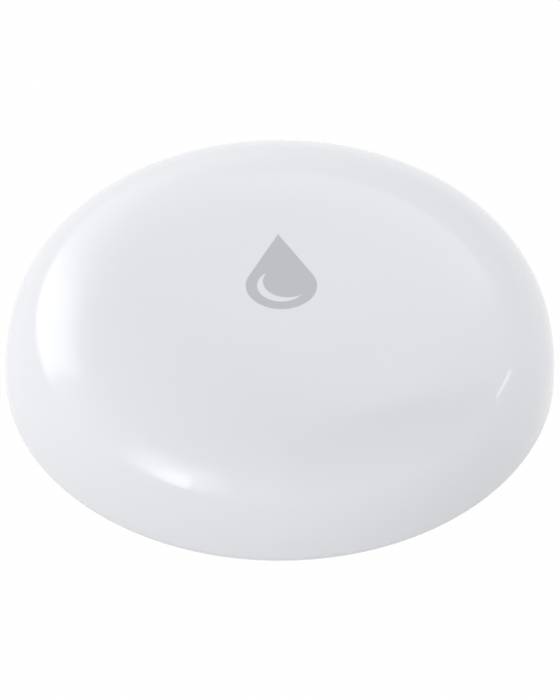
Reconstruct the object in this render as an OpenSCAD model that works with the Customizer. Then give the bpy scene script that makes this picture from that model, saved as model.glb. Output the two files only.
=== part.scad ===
// Round water leak sensor: a closed pebble-shaped cover on a flat base.
// Two screw-in probes in the base sense water on the floor, and pressing the drop on
// the crown clicks a switch on the board inside. A coin cell feeds the radio board.
// Millimetres, +Z up, origin on the floor under the middle, +Y towards the drop's tip.

/* [Body] */
// Largest diameter, at the equator
body_d = 50; // [48:0.5:60]
// Height from the floor to the crown
body_h = 15; // [14.5:0.1:18]
// Height of the equator above the floor
equator_h = 2.2; // [1.8:0.1:3]
// Flatness of the crown, the exponent across the radius
crown_power = 4; // [3.4:0.1:6]
// Fullness of the shoulder, the exponent up the height
shoulder_power = 2.65; // [2.3:0.05:3.5]
// Wall of the cover
shell_wall = 1.5; // [1.2:0.1:2]
// Reach of the rounded lower edge, from the equator in to the base
edge_w = 4.2; // [3.6:0.1:4.6]
// Flat ring where the cover ends beside the base
lip_w = 0.4; // [0.2:0.1:0.8]
// Thickness of the inner ledge that the base seats on
ledge_t = 1.2; // [0.8:0.1:1.6]

/* [Drop mark] */
// Radius of the drop's round end
drop_r = 3.2; // [2.5:0.1:4]
// Length of the drop, tip to round end
drop_l = 10.3; // [8.5:0.1:12]
// Distance from the middle to the drop's tip
drop_tip_y = 4.2; // [3:0.1:6]
// Depth of the inlay
mark_t = 0.2; // [0.1:0.05:0.4]
// Outer radius of the crescent in the round end
crescent_r = 2.2; // [1.6:0.1:2.3]
// Thickest part of the crescent
crescent_w = 0.8; // [0.5:0.1:1.1]
// Direction of the crescent's thickest part, degrees from +X
crescent_turn = 225; // [180:5:360]

/* [Base] */
// Height of the moulded feet
foot_h = 0.5; // [0.3:0.1:0.9]
// Diameter of one foot
foot_d = 4; // [2:0.5:5]
// Number of feet
foot_count = 4; // [3:1:6]
// Direction of the first foot, degrees from +X
foot_turn = 45; // [35:5:55]
// Thickness of the base plate
base_t = 1.6; // [1.4:0.1:2.1]
// Width of the ring that seats on the cover's ledge
seat_w = 2.4; // [2.1:0.1:2.8]
// Wall of the ring that centres the base in the ledge
spigot_t = 1; // [0.7:0.1:1.4]
// Height of that ring above the seat
spigot_h = 1.1; // [0.6:0.1:1.4]
// Diameter of the bare label recess underneath
label_d = 18; // [12:1:20]
// Depth of the label recess
label_t = 0.15; // [0.1:0.05:0.3]

/* [Seal] */
// Width of the seal ring
seal_w = 1.2; // [0.8:0.1:1.4]
// Height of the seal ring
seal_h = 0.8; // [0.5:0.1:1]

/* [Probes] */
// Distance of a probe from the board's edge
probe_inset = 3.55; // [3.4:0.05:3.7]
// Thread diameter of a probe screw
probe_d = 2.5; // [2:0.1:2.8]
// Head diameter of a probe screw
probe_head_d = 4.8; // [4.2:0.1:5]
// Head height of a probe screw
probe_head_t = 1.2; // [0.9:0.1:1.4]
// Cord of the small ring that seals a probe
probe_seal_d = 1; // [0.8:0.05:1.1]
// Wall of the post around a probe
post_wall = 0.8; // [0.6:0.1:1]
// Thread length that a probe screws into its insert
probe_grip = 3.5; // [2.5:0.1:3.7]
// Diameter of a threaded insert
insert_d = 4; // [3.6:0.1:4.4]
// Length of a threaded insert
insert_l = 3.8; // [3.7:0.1:4]
// Wall of the boss around an insert
boss_wall = 0.9; // [0.7:0.1:1.2]
// Slot width of the cross recess
cross_w = 0.7; // [0.5:0.05:0.9]
// Span of the cross recess
cross_l = 2.6; // [2:0.1:3]
// Depth of the cross recess
cross_t = 0.7; // [0.4:0.1:0.8]

/* [Coin cell] */
// Diameter of the coin cell
cell_d = 20; // [16:0.5:20]
// Thickness of the coin cell
cell_t = 3.2; // [2.5:0.1:3.6]
// Sheet of the cell's can and cap
cell_wall = 0.2; // [0.15:0.01:0.3]
// Width of the plastic ring between can and cap
cell_ring_w = 0.6; // [0.4:0.05:0.8]
// Step between the can's rim and the cap
cell_step = 0.25; // [0.15:0.05:0.4]
// Thickness of the foam pad under the cell
pad_t = 0.6; // [0.4:0.1:0.9]
// Diameter of the foam pad
pad_d = 14; // [10:1:16]

/* [Cell clip] */
// Sheet of the cell clip
clip_t = 0.3; // [0.2:0.05:0.4]
// Width of the cell clip
clip_w = 8; // [6:0.5:10]
// Direction of the clip's legs, degrees from +Y
clip_turn = -45; // [-50:5:-40]
// Length of each solder foot of the clip
clip_foot_l = 1.6; // [1:0.1:1.8]
// Height of the contact spring over the cell
contact_h = 0.65; // [0.5:0.05:0.9]
// Sheet of the contact spring
contact_t = 0.2; // [0.15:0.05:0.25]
// Width of the contact spring
contact_w = 4; // [3:0.5:6]
// Length of the contact spring
contact_l = 9; // [7:0.5:11]

/* [Board] */
// Thickness of the circuit board
board_t = 1; // [0.8:0.1:1.4]
// Space around the board inside the ledge's opening
board_gap = 0.4; // [0.2:0.1:0.8]
// Distance of the board screws from the board's edge
board_screw_inset = 3.4; // [2.6:0.1:3.6]
// Shank diameter of a board screw
board_screw_d = 1.6; // [1.4:0.1:1.8]
// Head diameter of a board screw
board_head_d = 2.8; // [2.4:0.1:3]
// Head height of a board screw
board_head_t = 0.6; // [0.5:0.1:0.8]
// Length of a board screw's shank
board_screw_l = 4; // [3:0.1:4.4]

/* [Switch] */
// Width of the switch
switch_w = 6; // [5.5:0.1:6.5]
// Sheet of the switch's metal cover
switch_cover_t = 0.3; // [0.2:0.05:0.4]
// Diameter of the plunger
plunger_d = 3.5; // [3:0.1:3.8]
// Height of the plunger above the switch
plunger_h = 0.9; // [0.6:0.1:1.4]
// Width of the collar that keeps the plunger in
collar_w = 0.4; // [0.3:0.05:0.6]
// Thickness of that collar
collar_t = 0.4; // [0.3:0.05:0.6]
// Travel of the plunger
press_travel = 0.25; // [0.15:0.05:0.3]
// Height of the snap dome under the plunger
snap_h = 0.55; // [0.45:0.05:0.7]
// Sheet of the snap dome
snap_t = 0.08; // [0.06:0.01:0.1]
// Width of one switch lead
lead_w = 0.7; // [0.5:0.1:0.9]
// Sheet of one switch lead
lead_t = 0.2; // [0.15:0.05:0.3]
// Reach of one switch lead beside the body
lead_l = 1; // [0.6:0.1:1.4]
// Diameter of the post under the crown that presses the plunger
press_post_d = 4; // [3:0.5:6]
// Length of that post
press_post_l = 1.15; // [0.5:0.05:2]

/* [Parts on the board] */
// Side of the radio chip
radio_w = 6; // [5:0.5:7]
// Height of the radio chip
radio_t = 0.9; // [0.7:0.1:1.2]
// Middle of the radio chip
radio_at = [7.4, 7.6]; // [6.5:0.1:8.5]
// Size of the crystal
crystal_size = [3.2, 2.5, 0.7]; // [0.5:0.1:3.4]
// Middle of the crystal
crystal_at = [6.6, 1.6]; // [1:0.1:7]
// Size of the indicator lamp
led_size = [1.6, 0.8, 0.6]; // [0.4:0.1:2]
// Distance of the indicator lamp from the middle
led_y = 5.2; // [4.6:0.1:6]
// Size of one capacitor
capacitor_size = [1.6, 0.8, 0.8]; // [0.5:0.1:1.8]
// Size of one resistor
resistor_size = [1.6, 0.8, 0.45]; // [0.3:0.05:1.8]
// Spacing in the rows of capacitors and resistors
chip_pitch = 2; // [1.4:0.1:2.2]
// Capacitors in their row
capacitor_count = 6; // [2:1:6]
// Resistors in their row
resistor_count = 5; // [2:1:5]

/* [Clearances] */
// Gap around the base's edge
edge_gap = 0.2; // [0.1:0.05:0.4]
// Gap between parts that slide together by hand
fit_gap = 0.15; // [0.1:0.05:0.25]
// Gap between parts that are pressed or screwed together
tight_gap = 0.03; // [0.02:0.01:0.06]
// Gap around the switch's plunger
slide_gap = 0.08; // [0.05:0.01:0.12]
// Gap between the press post and the plunger
press_gap = 0.05; // [0.03:0.01:0.1]

/* [Hidden] */
$fn = 96;
curve_steps = 36;   // spans of each curved stretch of the cover
drop_steps = 40;    // spans of the drop's round end
snap_steps = 8;     // spans of the snap dome
through = 1;        // overshoot of a cut past the face it leaves

// Heights, from the floor up
base_z = foot_h;
seat_z = base_z + base_t;
ledge_z = seat_z + ledge_t;
clip_z = seat_z + pad_t + fit_gap;
cell_z = clip_z + clip_t;
cell_top = cell_z + cell_t;
board_z = cell_top + contact_h;
board_top = board_z + board_t;
crown_z = body_h - shell_wall;
press_z = crown_z - press_post_l;
plunger_top = press_z - press_gap;
switch_top = plunger_top - plunger_h;
switch_h = switch_top - board_top;

// Radii, from the outside in
body_r = body_d / 2;
base_r = body_r - edge_w;
opening_r = base_r + edge_gap;
lip_r = opening_r + lip_w;
ledge_r = base_r - seat_w;
spigot_r = ledge_r - fit_gap;
seal_r = base_r - seat_w / 2;
board_r = ledge_r - board_gap;
foot_r = base_r - foot_d / 2;
board_screw_y = board_r - board_screw_inset;
cell_r = cell_d / 2;
cell_room_r = cell_r + fit_gap;

// Probes
probe_bore_r = probe_head_d / 2 + fit_gap;
probe_post_r = probe_bore_r + post_wall;
probe_x = board_r - probe_inset;
probe_seal_z = base_z + probe_head_t;
probe_shoulder_z = probe_seal_z + probe_seal_d;
probe_end_z = board_top + probe_grip;
boss_r = insert_d / 2 + boss_wall;

// Switch
collar_top = switch_top - switch_cover_t;
collar_z = collar_top - collar_t;
collar_r = plunger_d / 2 + collar_w;
snap_z = collar_z - snap_h;
snap_r = collar_r - slide_gap;

// A point of the dome, from the equator at 0 degrees to the crown at 90
function dome_point(radius, top, t) = [
    radius * pow(cos(t), 2 / crown_power),
    equator_h + (top - equator_h) * pow(sin(t), 2 / shoulder_power)
];

// The angle at which a dome of that top passes height z
function dome_angle(top, z) = asin(pow((z - equator_h) / (top - equator_h), shoulder_power / 2));

// A dome's curve, from its start angle up to the axis
function dome_curve(radius, top, start = 0) = [
    for (i = [0:curve_steps]) dome_point(radius, top, start + (90 - start) * i / curve_steps)
];

// The rounded lower edge, from the lip out to the equator
function edge_curve() = [
    for (i = [0:curve_steps - 1])
        let (a = 90 * i / curve_steps)
            [lip_r + (body_r - lip_r) * sin(a), equator_h - (equator_h - base_z) * cos(a)]
];

function reversed(list) = [for (i = [len(list) - 1:-1:0]) list[i]];

// The drop: a round end and two straight sides that meet it as tangents at the tip
function drop_outline() =
    let (reach = drop_l - drop_r, flank = acos(drop_r / reach))
        concat(
            [[0, reach]],
            [for (i = [0:drop_steps])
                let (a = 90 + flank + (360 - 2 * flank) * i / drop_steps)
                    drop_r * [cos(a), sin(a)]]
        );

module drop_2d() {
    translate([0, drop_tip_y - drop_l + drop_r])
        difference() {
            polygon(drop_outline());
            rotate(crescent_turn)
                difference() {
                    circle(r = crescent_r);
                    translate([-crescent_w, 0]) circle(r = crescent_r);
                }
        }
}

module drop_prism() {
    translate([0, 0, body_h - mark_t]) linear_extrude(mark_t + through) drop_2d();
}

// The body's full outside, without its hollow
module dome_solid() {
    rotate_extrude()
        polygon(concat([[0, base_z]], edge_curve(), dome_curve(body_r, body_h)));
}

// The middle of the cover's wall, which the bosses grow into
module wall_middle() {
    rotate_extrude()
        polygon(concat(
            [[0, equator_h]],
            dome_curve(body_r - shell_wall / 2, body_h - shell_wall / 2)
        ));
}

// The cover's wall, its lip and its inner ledge in one turned outline
module cover_wall() {
    rotate_extrude()
        polygon(concat(
            [[opening_r, base_z]],
            edge_curve(),
            dome_curve(body_r, body_h),
            reversed(dome_curve(body_r - shell_wall, crown_z, dome_angle(crown_z, ledge_z))),
            [[ledge_r, ledge_z], [ledge_r, seat_z], [opening_r, seat_z]]
        ));
}

module at_probes() {
    for (side = [-1, 1]) translate([side * probe_x, 0, 0]) children();
}

module at_board_screws() {
    for (side = [-1, 1]) translate([0, side * board_screw_y, 0]) children();
}

// A column under the crown, from height z up
module column(r, z) {
    translate([0, 0, z]) cylinder(r = r, h = body_h - z);
}

module top_shell() {
    color([0.87, 0.88, 0.9])
        difference() {
            union() {
                cover_wall();
                intersection() {
                    union() {
                        at_probes() column(boss_r, board_top);
                        at_board_screws() column(board_screw_d / 2 + boss_wall, board_top);
                        column(press_post_d / 2, press_z);
                    }
                    wall_middle();
                }
            }
            drop_prism();
            at_probes() {
                translate([0, 0, board_top - through])
                    cylinder(d = insert_d, h = insert_l + through);
                // Room for the base's posts where they pass the ledge
                translate([0, 0, seat_z - through])
                    cylinder(r = probe_post_r + fit_gap, h = ledge_t + 2 * through);
            }
            at_board_screws()
                translate([0, 0, board_top - through])
                    cylinder(d = board_screw_d + 2 * tight_gap, h = board_screw_l + through);
        }
}

module drop_mark() {
    color([0.76, 0.77, 0.79])
        intersection() {
            dome_solid();
            drop_prism();
        }
}

module base_cover() {
    color([0.87, 0.88, 0.9])
        difference() {
            union() {
                translate([0, 0, base_z]) cylinder(r = base_r, h = base_t);
                translate([0, 0, seat_z])
                    difference() {
                        cylinder(r = spigot_r, h = spigot_h);
                        translate([0, 0, -through])
                            cylinder(r = spigot_r - spigot_t, h = spigot_h + 2 * through);
                    }
                at_probes()
                    translate([0, 0, base_z])
                        cylinder(r = probe_post_r, h = board_z - fit_gap - base_z);
                for (i = [0:foot_count - 1])
                    rotate(foot_turn + 360 * i / foot_count)
                        translate([foot_r, 0, 0]) cylinder(d = foot_d, h = base_z + base_t / 2);
            }
            translate([0, 0, seat_z - seal_h])
                difference() {
                    cylinder(r = seal_r + seal_w / 2, h = seal_h + through);
                    translate([0, 0, -through])
                        cylinder(r = seal_r - seal_w / 2, h = seal_h + 3 * through);
                }
            at_probes() {
                translate([0, 0, -through])
                    cylinder(r = probe_bore_r, h = probe_shoulder_z + through);
                cylinder(r = probe_d / 2 + fit_gap, h = board_z);
            }
            translate([0, 0, base_z - through]) cylinder(d = label_d, h = label_t + through);
            // Room for the cell beside the probe posts
            translate([0, 0, clip_z - fit_gap]) cylinder(r = cell_room_r, h = board_z);
        }
}

// Flattened cord with round flanks, as it lies when the base is screwed up
module seal_ring() {
    color([0.75, 0.76, 0.78])
        rotate_extrude()
            translate([seal_r, seat_z - seal_h / 2]) {
                square([seal_w - seal_h, seal_h], center = true);
                for (side = [-1, 1])
                    translate([side * ((seal_w - seal_h) / 2 - tight_gap), 0])
                        circle(d = seal_h);
            }
}

module battery_pad() {
    color([0.2, 0.2, 0.21])
        translate([0, 0, seat_z]) cylinder(d = pad_d, h = pad_t);
}

// A cross-headed probe, head down, with its shank up into the insert
module probe_screw() {
    color([0.75, 0.76, 0.77])
        difference() {
            translate([0, 0, base_z])
                union() {
                    cylinder(d = probe_head_d, h = probe_head_t);
                    cylinder(d = probe_d, h = probe_end_z - base_z);
                }
            for (turn = [0, 90])
                rotate(turn)
                    translate([-cross_l / 2, -cross_w / 2, base_z - through])
                        cube([cross_l, cross_w, cross_t + through]);
        }
}

module probe_screw_left() {
    translate([-probe_x, 0, 0]) probe_screw();
}

module probe_screw_right() {
    translate([probe_x, 0, 0]) probe_screw();
}

module probe_seal() {
    color([0.13, 0.13, 0.14])
        rotate_extrude()
            translate([probe_d / 2 + tight_gap + probe_seal_d / 2, probe_seal_z + probe_seal_d / 2])
                circle(d = probe_seal_d - tight_gap);
}

module probe_seal_left() {
    translate([-probe_x, 0, 0]) probe_seal();
}

module probe_seal_right() {
    translate([probe_x, 0, 0]) probe_seal();
}

module probe_insert() {
    color([0.78, 0.62, 0.3])
        translate([0, 0, board_top])
            difference() {
                cylinder(d = insert_d - 2 * tight_gap, h = insert_l);
                translate([0, 0, -through])
                    cylinder(d = probe_d + 2 * tight_gap, h = insert_l + 2 * through);
            }
}

module probe_insert_left() {
    translate([-probe_x, 0, 0]) probe_insert();
}

module probe_insert_right() {
    translate([probe_x, 0, 0]) probe_insert();
}

module circuit_board() {
    color([0.1, 0.35, 0.22])
        translate([0, 0, board_z])
            difference() {
                cylinder(r = board_r, h = board_t);
                translate([0, 0, -through]) {
                    at_probes() cylinder(d = probe_d + 2 * fit_gap, h = board_t + 2 * through);
                    at_board_screws()
                        cylinder(d = board_screw_d + 2 * fit_gap, h = board_t + 2 * through);
                }
            }
}

module board_screws() {
    color([0.7, 0.7, 0.72])
        at_board_screws()
            translate([0, 0, board_z]) {
                translate([0, 0, -board_head_t])
                    difference() {
                        cylinder(d = board_head_d, h = board_head_t);
                        for (turn = [0, 90])
                            rotate(turn)
                                translate([-board_screw_d / 2, -cross_w / 4, -through])
                                    cube([board_screw_d, cross_w / 2, board_head_t / 2 + through]);
                    }
                cylinder(d = board_screw_d, h = board_t + board_screw_l - tight_gap);
            }
}

// The can is a cup that opens upwards, with its flat plus side down on the clip
module battery_can() {
    color([0.8, 0.8, 0.81])
        translate([0, 0, cell_z])
            difference() {
                cylinder(r = cell_r, h = cell_t - cell_step);
                translate([0, 0, cell_wall]) cylinder(r = cell_r - cell_wall, h = cell_t);
            }
}

module battery_gasket() {
    color([0.25, 0.25, 0.26])
        translate([0, 0, cell_z + cell_wall])
            difference() {
                cylinder(r = cell_r - cell_wall - tight_gap, h = cell_t - cell_step - cell_wall);
                translate([0, 0, -through])
                    cylinder(r = cell_r - cell_wall - cell_ring_w, h = cell_t + 2 * through);
            }
}

module battery_cap() {
    color([0.77, 0.77, 0.78])
        translate([0, 0, cell_z + cell_wall])
            difference() {
                cylinder(r = cell_r - cell_wall - cell_ring_w - tight_gap, h = cell_t - cell_wall);
                translate([0, 0, -through])
                    cylinder(
                        r = cell_r - 2 * cell_wall - cell_ring_w - tight_gap,
                        h = cell_t - 2 * cell_wall + through
                    );
            }
}

module battery_stack() {
    color([0.3, 0.3, 0.3])
        translate([0, 0, cell_z + cell_wall])
            cylinder(
                r = cell_r - 2 * cell_wall - cell_ring_w - 2 * tight_gap,
                h = cell_t - 2 * cell_wall
            );
}

// A strap under the cell, with a leg up each side and a foot soldered to the board
module battery_clip() {
    leg_y = cell_room_r;
    color([0.72, 0.73, 0.74])
        rotate(clip_turn) translate([-clip_w / 2, 0, 0]) {
            translate([0, -leg_y - clip_t, clip_z]) cube([clip_w, 2 * (leg_y + clip_t), clip_t]);
            for (side = [-1, 1]) {
                translate([0, side * (leg_y + clip_t / 2) - clip_t / 2, clip_z])
                    cube([clip_w, clip_t, board_z - clip_z]);
                translate([0, side * (leg_y + clip_foot_l / 2) - clip_foot_l / 2, board_z - clip_t])
                    cube([clip_w, clip_foot_l, clip_t]);
            }
        }
}

// A leaf soldered flat to the board that slopes down to rest on the cell's cap
module battery_contact() {
    rest = contact_l / 3;
    color([0.75, 0.72, 0.62])
        translate([0, contact_w / 2, 0])
            rotate([90, 0, 0])
                linear_extrude(contact_w)
                    polygon([
                        [-contact_l / 2, board_z],
                        [-contact_l / 2 + rest, board_z],
                        [contact_l / 2 - rest / 2, cell_top + contact_t],
                        [contact_l / 2, cell_top + contact_t],
                        [contact_l / 2, cell_top],
                        [contact_l / 2 - rest / 2, cell_top],
                        [-contact_l / 2 + rest, board_z - contact_t],
                        [-contact_l / 2, board_z - contact_t]
                    ]);
}

module switch_body() {
    color([0.13, 0.13, 0.14])
        difference() {
            translate([-switch_w / 2, -switch_w / 2, board_top])
                cube([switch_w, switch_w, switch_h - switch_cover_t]);
            translate([0, 0, snap_z]) cylinder(r = collar_r + slide_gap, h = switch_h);
        }
}

module switch_cover() {
    color([0.78, 0.79, 0.8])
        difference() {
            translate([-switch_w / 2, -switch_w / 2, collar_top])
                cube([switch_w, switch_w, switch_cover_t]);
            cylinder(r = plunger_d / 2 + slide_gap, h = body_h);
        }
}

// A thin domed disc that the plunger bends flat until it snaps
module switch_dome() {
    rise = snap_h - snap_t;
    bow = (snap_r * snap_r + rise * rise) / (2 * rise);
    lean = asin(snap_r / bow) / snap_steps;
    color([0.8, 0.8, 0.78])
        translate([0, 0, snap_z + rise - bow])
            rotate_extrude()
                polygon(concat(
                    [for (i = [0:snap_steps]) (bow + snap_t) * [sin(lean * i), cos(lean * i)]],
                    [for (i = [snap_steps:-1:0]) bow * [sin(lean * i), cos(lean * i)]]
                ));
}

module switch_plunger() {
    color([0.9, 0.9, 0.88])
        translate([0, 0, collar_z]) {
            cylinder(r = collar_r, h = collar_t);
            cylinder(d = plunger_d, h = plunger_top - collar_z);
        }
}

module switch_pins() {
    reach = switch_w / 2;
    color([0.8, 0.8, 0.8])
        for (x = [-1, 1], y = [-1, 1])
            translate([x * (reach - lead_w), y * reach, board_top])
                translate([-lead_w / 2, y > 0 ? 0 : -lead_l, 0]) {
                    cube([lead_w, lead_l, lead_t]);
                    translate([0, y > 0 ? 0 : lead_l - lead_t, 0])
                        cube([lead_w, lead_t, switch_h / 2]);
                }
}

// A box-shaped part standing on the board
module on_board(size, at) {
    translate([at[0] - size[0] / 2, at[1] - size[1] / 2, board_top]) cube(size);
}

module radio_chip() {
    color([0.12, 0.12, 0.13]) on_board([radio_w, radio_w, radio_t], radio_at);
}

module crystal() {
    color([0.8, 0.78, 0.7]) on_board(crystal_size, crystal_at);
}

module indicator_led() {
    color([0.85, 0.9, 0.95]) on_board(led_size, [0, led_y]);
}

// A row of equal small parts, centred on its middle and spaced along Y
module chip_row(size, count, x, y) {
    for (i = [0:count - 1])
        on_board(size, [x, y + (i - (count - 1) / 2) * chip_pitch]);
}

module capacitors() {
    color([0.66, 0.55, 0.42])
        chip_row(capacitor_size, capacitor_count, -radio_at[0], radio_at[1]);
}

module resistors() {
    color([0.1, 0.1, 0.11])
        chip_row(resistor_size, resistor_count, radio_at[0], -radio_at[1]);
}

top_shell();
drop_mark();
base_cover();
seal_ring();
battery_pad();
probe_screw_left();
probe_screw_right();
probe_seal_left();
probe_seal_right();
probe_insert_left();
probe_insert_right();
circuit_board();
board_screws();
battery_can();
battery_gasket();
battery_cap();
battery_stack();
battery_clip();
battery_contact();
switch_body();
switch_cover();
switch_dome();
switch_plunger();
switch_pins();
radio_chip();
crystal();
indicator_led();
capacitors();
resistors();
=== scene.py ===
from math import acos, ceil, cos, degrees, hypot, pi, radians, sin, tan
import bpy
import bmesh
from mathutils import Matrix, Vector
from mathutils.geometry import delaunay_2d_cdt


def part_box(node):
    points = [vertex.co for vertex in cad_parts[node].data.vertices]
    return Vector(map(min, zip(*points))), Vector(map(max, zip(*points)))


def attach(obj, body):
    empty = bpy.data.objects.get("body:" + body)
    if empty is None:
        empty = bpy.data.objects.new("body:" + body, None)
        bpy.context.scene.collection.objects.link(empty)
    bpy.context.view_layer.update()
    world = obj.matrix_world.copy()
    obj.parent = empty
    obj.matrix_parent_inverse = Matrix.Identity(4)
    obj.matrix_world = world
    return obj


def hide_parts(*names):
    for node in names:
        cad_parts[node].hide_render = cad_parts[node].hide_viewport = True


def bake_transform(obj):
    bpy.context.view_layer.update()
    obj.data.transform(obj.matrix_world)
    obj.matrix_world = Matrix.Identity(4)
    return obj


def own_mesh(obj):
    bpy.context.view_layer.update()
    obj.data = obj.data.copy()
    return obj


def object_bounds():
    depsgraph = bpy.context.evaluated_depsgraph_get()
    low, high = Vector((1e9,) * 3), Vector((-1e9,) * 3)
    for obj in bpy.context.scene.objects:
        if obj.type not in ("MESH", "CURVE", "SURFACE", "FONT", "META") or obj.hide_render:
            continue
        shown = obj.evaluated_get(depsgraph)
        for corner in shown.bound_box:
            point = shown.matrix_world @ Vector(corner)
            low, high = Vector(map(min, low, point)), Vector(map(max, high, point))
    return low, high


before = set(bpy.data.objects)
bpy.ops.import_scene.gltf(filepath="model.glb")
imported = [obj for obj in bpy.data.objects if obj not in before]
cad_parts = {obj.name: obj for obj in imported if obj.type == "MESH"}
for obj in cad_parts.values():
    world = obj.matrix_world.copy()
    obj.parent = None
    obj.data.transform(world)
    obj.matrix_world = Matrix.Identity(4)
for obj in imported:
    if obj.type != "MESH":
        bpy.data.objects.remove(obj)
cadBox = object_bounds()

mm = 0.001
tiny = 1e-5  # a shorter length counts as nothing
past = 1.0  # a cutting tool stands out of its piece by this much
sides = ("left", "right")


# a node's lowest and highest corners at rest, in mm
def nodeBox(node):
    low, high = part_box(node)
    return [v / mm for v in low], [v / mm for v in high]


# a round node's middle, radius, foot and top
def roundNode(node):
    low, high = nodeBox(node)
    return (low[0] + high[0]) / 2, (low[1] + high[1]) / 2, (high[0] - low[0]) / 2, low[2], high[2]


def nodeMiddle(node):
    return roundNode(node)[:2]


# meshes are built in mm and scaled when they are placed
def makeObject(name, data):
    obj = bpy.data.objects.new(name, data)
    bpy.context.scene.collection.objects.link(obj)
    return obj


def solid(name, bm):
    bmesh.ops.recalc_face_normals(bm, faces=bm.faces)
    mesh = bpy.data.meshes.new(name)
    bm.to_mesh(mesh)
    bm.free()
    return makeObject(name, mesh)


# how is UNION or DIFFERENCE; the tool piece is used up
def carve(obj, tool, how="DIFFERENCE"):
    step = obj.modifiers.new("carve", "BOOLEAN")
    step.operation = how
    step.solver = "MANIFOLD"
    step.object = tool
    graph = bpy.context.evaluated_depsgraph_get()
    old = obj.data
    mesh = bpy.data.meshes.new_from_object(obj.evaluated_get(graph))
    obj.modifiers.clear()
    obj.data = mesh
    bpy.data.meshes.remove(old)
    bpy.data.objects.remove(tool)


def place(obj, material, nodes=(), body="core", sharp=35):
    obj.data.transform(Matrix.Scale(mm, 4))
    obj.data.shade_smooth()
    obj.data.set_sharp_from_angle(angle=radians(sharp))
    obj.data.materials.clear()
    obj.data.materials.append(material)
    if nodes:
        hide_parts(*nodes)
    if body:
        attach(obj, body)
    return obj


# joins a row of point loops with faces; a loop of one point closes an end
def addRings(bm, rings, closed=False):
    made = [[bm.verts.new(p) for p in ring] for ring in rings]
    pairs = list(zip(made, made[1:]))
    if closed:
        pairs.append((made[-1], made[0]))
    for low, high in pairs:
        count = max(len(low), len(high))
        for k in range(count if count > 1 else 0):
            n = (k + 1) % count
            if len(low) == 1:
                bm.faces.new((low[0], high[k], high[n]))
            elif len(high) == 1:
                bm.faces.new((low[k], low[n], high[0]))
            else:
                bm.faces.new((low[k], low[n], high[n], high[k]))
    return made


# a row of loops with a flat face at each end
def addCapped(bm, rings):
    made = addRings(bm, rings)
    bm.faces.new(made[0])
    bm.faces.new(made[-1])


# a level loop about (x, y), from a list of radii
def roundLoop(radii, z, x, y):
    turns = [2 * pi * k / len(radii) for k in range(len(radii))]
    return [(x + r * cos(a), y + r * sin(a), z) for r, a in zip(radii, turns)]


def circle(r, z, segments, x, y):
    return [(x, y, z)] if r < tiny else roundLoop([r] * segments, z, x, y)


# turns a closed outline of (radius, height) about the upright axis at each spot
def addLathe(bm, outline, segments, *spots):
    for x, y in spots:
        addRings(bm, [circle(r, z, segments, x, y) for r, z in outline], closed=True)


def turnedPiece(name, outline, segments, x=0.0, y=0.0):
    bm = bmesh.new()
    addLathe(bm, outline, segments, (x, y))
    return solid(name, bm)


# the outline of a plain round peg
def peg(r, low, high):
    return [(0, low), (r, low), (r, high), (0, high)]


# a round edge of an outline, from the first direction to the last
def roundEdge(cx, cz, r, start, end, steps=6):
    turns = [radians(start + (end - start) * i / steps) for i in range(steps + 1)]
    return [(cx + r * cos(a), cz + r * sin(a)) for a in turns]


def spotsAround(reach, angles):
    return [(reach * cos(a), reach * sin(a)) for a in map(radians, angles)]


def addBlock(bm, low, high, bevel, steps=2):
    part = bmesh.new()
    bmesh.ops.create_cube(part, size=1.0)
    bmesh.ops.scale(part, vec=[b - a for a, b in zip(low, high)], verts=part.verts)
    bmesh.ops.translate(part, vec=[(a + b) / 2 for a, b in zip(low, high)], verts=part.verts)
    bmesh.ops.bevel(part, geom=part.edges[:], offset=bevel, segments=steps, profile=0.5, affect="EDGES")
    mesh = bpy.data.meshes.new("part")
    part.to_mesh(mesh)
    part.free()
    bm.from_mesh(mesh)
    bpy.data.meshes.remove(mesh)


def blockPiece(name, low, high, bevel, steps=2):
    bm = bmesh.new()
    addBlock(bm, low, high, bevel, steps)
    return solid(name, bm)


# a box drawn in along x and y, and at its foot and top
def drawnIn(low, high, x, y, foot, top=0.0):
    return (low[0] + x, low[1] + y, low[2] + foot), (high[0] - x, high[1] - y, high[2] - top)


# the two spans of a given length at the ends of a stretch
def endSpans(low, high, long):
    return (low, low + long), (high - long, high)


# rounds the corners of an open path of 2D points
def bendPath(points, radius, steps=6):
    path = [Vector(points[0])]
    for before, corner, after in zip(points, points[1:], points[2:]):
        corner = Vector(corner)
        inDir = (Vector(before) - corner).normalized()
        outDir = (Vector(after) - corner).normalized()
        half = inDir.angle(outDir) / 2
        reach = radius / tan(half)
        centre = corner + (inDir + outDir).normalized() * radius / sin(half)
        first = corner + inDir * reach - centre
        swing = first.angle_signed(corner + outDir * reach - centre)
        for i in range(steps + 1):
            path.append(centre + Matrix.Rotation(-swing * i / steps, 2) @ first)
    path.append(Vector(points[-1]))
    return path


# a bent strip of sheet: path in (along, height), turned about the upright axis, edges slightly broken
def addStrip(bm, path, thick, wide, turn=0.0, side=0.0, edge=0.04):
    t, w, e = thick / 2, wide / 2, edge
    section = [(-t, -w + e), (-t, w - e), (-t + e, w), (t - e, w),
               (t, w - e), (t, -w + e), (t - e, -w), (-t + e, -w)]
    cosTurn, sinTurn = cos(radians(turn)), sin(radians(turn))
    rings = []
    for i, p in enumerate(path):
        ahead = (path[min(i + 1, len(path) - 1)] - path[max(i - 1, 0)]).normalized()
        normal = Vector((-ahead.y, ahead.x))
        ring = []
        for off, across in section:
            u, z, v = p.x + normal.x * off, p.y + normal.y * off, across + side
            ring.append((u * cosTurn - v * sinTurn, u * sinTurn + v * cosTurn, z))
        rings.append(ring)
    addCapped(bm, rings)


print("mesh tools ready")


# sets a node's inputs, each to a value or to another node's output
def feed(tree, node, values):
    for key, value in values.items():
        if isinstance(value, bpy.types.NodeSocket):
            tree.links.new(value, node.inputs[key])
        else:
            node.inputs[key].default_value = value
    return node


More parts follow.
